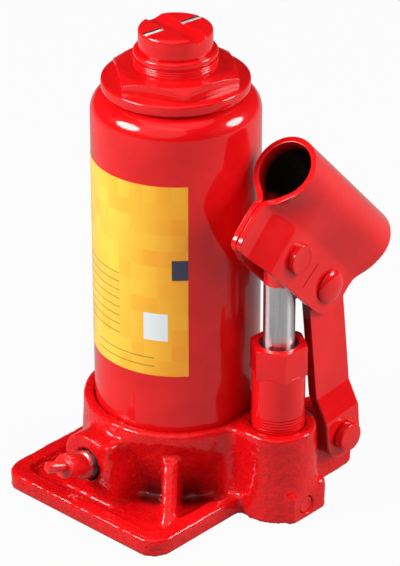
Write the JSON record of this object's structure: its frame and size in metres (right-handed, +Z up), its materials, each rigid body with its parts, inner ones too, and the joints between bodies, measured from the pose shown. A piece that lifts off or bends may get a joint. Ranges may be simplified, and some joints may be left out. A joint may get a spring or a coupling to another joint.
{
  "type": "hydraulic bottle jack",
  "caption": "Hydraulic bottle jack: cast base, upright reservoir, ram with screwed saddle, hand pump worked by a pinched handle socket on a link, and a release valve.",
  "frame": {"origin": "underside of the base, on the axis of the ram", "axes": "+Z up along the ram, +X towards the pump, -Y to the front where the release valve and the mouth of the handle socket face"},
  "size_m": [0.0997, 0.123, 0.18],
  "materials": {
    "cast_red_paint": "gloss over a rough casting",
    "red_paint": "gloss",
    "bright_steel": "ground",
    "plain_steel": "satin",
    "black_rubber": "matte",
    "strainer_brass": "satin"
  },
  "bodies": {
    "base": {"base_casting": "cast_red_paint", "reservoir_tube": "red_paint", "tube_base_gasket": "black_rubber", "tube_top_gasket": "black_rubber", "filler_plug": "black_rubber", "oil_strainer": "strainer_brass", "ram_cylinder": "bright_steel", "cylinder_gasket": "black_rubber", "top_nut": "red_paint", "top_nut_seal": "black_rubber", "pump_cylinder": "red_paint", "pump_cylinder_gasket": "black_rubber", "pump_gland_seal": "black_rubber", "suction_ball": "plain_steel", "delivery_ball": "plain_steel", "overload_ball": "plain_steel", "overload_spring": "plain_steel", "overload_plug": "red_paint", "base_pin": "red_paint", "base_pin_clip": "red_paint", "release_valve_ball": "plain_steel"},
    "ram": {"ram": "red_paint", "ram_cup_seal": "black_rubber", "ram_seal_washer": "plain_steel", "ram_seal_nut": "plain_steel"},
    "extension": {"extension_screw": "red_paint"},
    "plunger": {"pump_plunger": "bright_steel", "plunger_seal": "black_rubber"},
    "socket": {"handle_socket": "red_paint", "plunger_pin": "red_paint", "link_pin": "red_paint", "socket_pin_clips": "red_paint"},
    "link": {"link_plate": "red_paint"},
    "release_valve": {"release_valve_screw": "red_paint", "release_valve_seal": "black_rubber"}
  },
  "joints": [
    {"name": "ram_lift", "type": "slide", "parent": "base", "child": "ram", "axis": [0, 0, 1], "range_m": [0, 0.11]},
    {"name": "screw_extend", "type": "slide", "parent": "ram", "child": "extension", "axis": [0, 0, 1], "range_m": [0, 0.05]},
    {"name": "pump_stroke", "type": "slide", "parent": "base", "child": "plunger", "axis": [0, 0, -1], "range_m": [0, 0.0152]},
    {"name": "handle_swing", "type": "hinge", "parent": "plunger", "child": "socket", "pos_m": [0.0446, 0.006, 0.1049], "axis": [1, 0, 0], "range_deg": [0, 40]},
    {"name": "link_swing", "type": "hinge", "parent": "base", "child": "link", "pos_m": [0.0446, 0.0298, 0.0233], "axis": [1, 0, 0], "range_deg": [-7, 0]},
    {"name": "release_valve_turn", "type": "hinge", "parent": "base", "child": "release_valve", "pos_m": [-0.0054, -0.043, 0.0175], "axis": [0, -0.9336, 0.3584], "range_deg": [0, 360]}
  ],
  "couplings": [
    {"joint": "pump_stroke", "follows": "handle_swing", "m_per_rad": 0.02153},
    {"joint": "link_swing", "follows": "handle_swing", "ratio": -0.1705}
  ]
}
